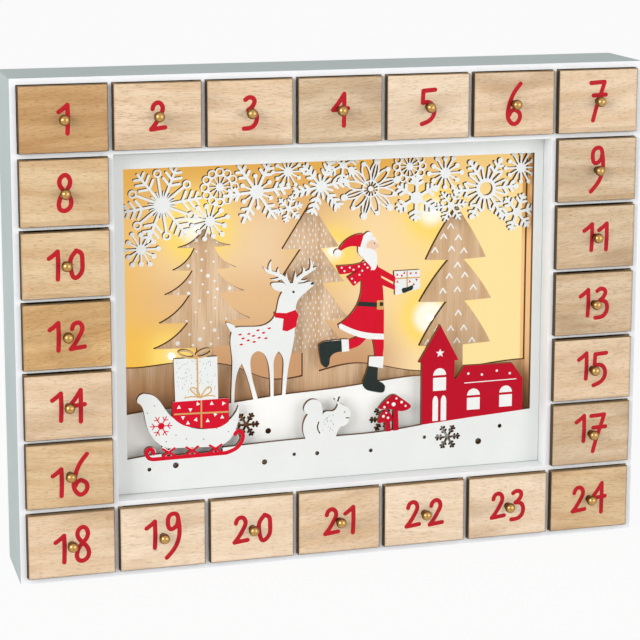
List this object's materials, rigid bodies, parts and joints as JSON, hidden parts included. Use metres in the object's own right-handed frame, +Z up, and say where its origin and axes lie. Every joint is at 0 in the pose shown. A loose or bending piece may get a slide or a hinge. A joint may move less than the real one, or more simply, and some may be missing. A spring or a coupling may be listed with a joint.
{
  "type": "wooden advent calendar",
  "caption": "Wooden advent calendar: rectangular case with a lit winter scene of layered cut boards, framed by numbered pull-out drawers with brass ball knobs.",
  "frame": {"origin": "middle of the case's footprint, on the surface it stands on", "axes": "+X to the right along the width, +Y from the drawer fronts to the back, +Z up"},
  "size_m": [0.39, 0.0634, 0.301],
  "materials": {
    "sage_paint": "matt sage paint",
    "white_paint": "matt white paint",
    "scene_paint": "matt white paint with printed colours and burnt laser-cut edges",
    "drawer_wood": "bare sanded plywood",
    "antique_brass": "antique brass",
    "fir_wood": "bare wood veneer",
    "panel_wood": "bare wood, lit from behind",
    "lamp": "clear warm-white lamp",
    "rear_board": "bare hardboard",
    "black_plastic": "black moulded"
  },
  "bodies": {
    "case": {"outer_case": "sage_paint", "dividers": "white_paint", "rear_panel": "rear_board", "front_frame": "scene_paint", "snow_band": "scene_paint", "middle_layer": "scene_paint", "tree_layer": "fir_wood", "light_panel": "panel_wood", "led_string": "lamp", "battery_box": "black_plastic"},
    "drawer_body_01": {"drawer_01": "drawer_wood", "knob_01": "antique_brass"},
    "drawer_body_02": {"drawer_02": "drawer_wood", "knob_02": "antique_brass"},
    "drawer_body_03": {"drawer_03": "drawer_wood", "knob_03": "antique_brass"},
    "drawer_body_04": {"drawer_04": "drawer_wood", "knob_04": "antique_brass"},
    "drawer_body_05": {"drawer_05": "drawer_wood", "knob_05": "antique_brass"},
    "drawer_body_06": {"drawer_06": "drawer_wood", "knob_06": "antique_brass"},
    "drawer_body_07": {"drawer_07": "drawer_wood", "knob_07": "antique_brass"},
    "drawer_body_08": {"drawer_08": "drawer_wood", "knob_08": "antique_brass"},
    "drawer_body_09": {"drawer_09": "drawer_wood", "knob_09": "antique_brass"},
    "drawer_body_10": {"drawer_10": "drawer_wood", "knob_10": "antique_brass"},
    "drawer_body_11": {"drawer_11": "drawer_wood", "knob_11": "antique_brass"},
    "drawer_body_12": {"drawer_12": "drawer_wood", "knob_12": "antique_brass"},
    "drawer_body_13": {"drawer_13": "drawer_wood", "knob_13": "antique_brass"},
    "drawer_body_14": {"drawer_14": "drawer_wood", "knob_14": "antique_brass"},
    "drawer_body_15": {"drawer_15": "drawer_wood", "knob_15": "antique_brass"},
    "drawer_body_16": {"drawer_16": "drawer_wood", "knob_16": "antique_brass"},
    "drawer_body_17": {"drawer_17": "drawer_wood", "knob_17": "antique_brass"},
    "drawer_body_18": {"drawer_18": "drawer_wood", "knob_18": "antique_brass"},
    "drawer_body_19": {"drawer_19": "drawer_wood", "knob_19": "antique_brass"},
    "drawer_body_20": {"drawer_20": "drawer_wood", "knob_20": "antique_brass"},
    "drawer_body_21": {"drawer_21": "drawer_wood", "knob_21": "antique_brass"},
    "drawer_body_22": {"drawer_22": "drawer_wood", "knob_22": "antique_brass"},
    "drawer_body_23": {"drawer_23": "drawer_wood", "knob_23": "antique_brass"},
    "drawer_body_24": {"drawer_24": "drawer_wood", "knob_24": "antique_brass"},
    "battery_cover_body": {"battery_cover": "black_plastic"},
    "switch_body": {"switch_slider": "black_plastic"}
  },
  "joints": [
    {"name": "drawer_01_slide", "type": "slide", "parent": "case", "child": "drawer_body_01", "axis": [0, -1, 0], "range_m": [0, 0.04]},
    {"name": "drawer_02_slide", "type": "slide", "parent": "case", "child": "drawer_body_02", "axis": [0, -1, 0], "range_m": [0, 0.04]},
    {"name": "drawer_03_slide", "type": "slide", "parent": "case", "child": "drawer_body_03", "axis": [0, -1, 0], "range_m": [0, 0.04]},
    {"name": "drawer_04_slide", "type": "slide", "parent": "case", "child": "drawer_body_04", "axis": [0, -1, 0], "range_m": [0, 0.04]},
    {"name": "drawer_05_slide", "type": "slide", "parent": "case", "child": "drawer_body_05", "axis": [0, -1, 0], "range_m": [0, 0.04]},
    {"name": "drawer_06_slide", "type": "slide", "parent": "case", "child": "drawer_body_06", "axis": [0, -1, 0], "range_m": [0, 0.04]},
    {"name": "drawer_07_slide", "type": "slide", "parent": "case", "child": "drawer_body_07", "axis": [0, -1, 0], "range_m": [0, 0.04]},
    {"name": "drawer_08_slide", "type": "slide", "parent": "case", "child": "drawer_body_08", "axis": [0, -1, 0], "range_m": [0, 0.04]},
    {"name": "drawer_09_slide", "type": "slide", "parent": "case", "child": "drawer_body_09", "axis": [0, -1, 0], "range_m": [0, 0.04]},
    {"name": "drawer_10_slide", "type": "slide", "parent": "case", "child": "drawer_body_10", "axis": [0, -1, 0], "range_m": [0, 0.04]},
    {"name": "drawer_11_slide", "type": "slide", "parent": "case", "child": "drawer_body_11", "axis": [0, -1, 0], "range_m": [0, 0.04]},
    {"name": "drawer_12_slide", "type": "slide", "parent": "case", "child": "drawer_body_12", "axis": [0, -1, 0], "range_m": [0, 0.04]},
    {"name": "drawer_13_slide", "type": "slide", "parent": "case", "child": "drawer_body_13", "axis": [0, -1, 0], "range_m": [0, 0.04]},
    {"name": "drawer_14_slide", "type": "slide", "parent": "case", "child": "drawer_body_14", "axis": [0, -1, 0], "range_m": [0, 0.04]},
    {"name": "drawer_15_slide", "type": "slide", "parent": "case", "child": "drawer_body_15", "axis": [0, -1, 0], "range_m": [0, 0.04]},
    {"name": "drawer_16_slide", "type": "slide", "parent": "case", "child": "drawer_body_16", "axis": [0, -1, 0], "range_m": [0, 0.04]},
    {"name": "drawer_17_slide", "type": "slide", "parent": "case", "child": "drawer_body_17", "axis": [0, -1, 0], "range_m": [0, 0.04]},
    {"name": "drawer_18_slide", "type": "slide", "parent": "case", "child": "drawer_body_18", "axis": [0, -1, 0], "range_m": [0, 0.04]},
    {"name": "drawer_19_slide", "type": "slide", "parent": "case", "child": "drawer_body_19", "axis": [0, -1, 0], "range_m": [0, 0.04]},
    {"name": "drawer_20_slide", "type": "slide", "parent": "case", "child": "drawer_body_20", "axis": [0, -1, 0], "range_m": [0, 0.04]},
    {"name": "drawer_21_slide", "type": "slide", "parent": "case", "child": "drawer_body_21", "axis": [0, -1, 0], "range_m": [0, 0.04]},
    {"name": "drawer_22_slide", "type": "slide", "parent": "case", "child": "drawer_body_22", "axis": [0, -1, 0], "range_m": [0, 0.04]},
    {"name": "drawer_23_slide", "type": "slide", "parent": "case", "child": "drawer_body_23", "axis": [0, -1, 0], "range_m": [0, 0.04]},
    {"name": "drawer_24_slide", "type": "slide", "parent": "case", "child": "drawer_body_24", "axis": [0, -1, 0], "range_m": [0, 0.04]},
    {"name": "battery_cover_slide", "type": "slide", "parent": "case", "child": "battery_cover_body", "axis": [1, 0, 0], "range_m": [0, 0.024]},
    {"name": "switch_slide", "type": "slide", "parent": "case", "child": "switch_body", "axis": [1, 0, 0], "range_m": [0, 0.004]}
  ]
}
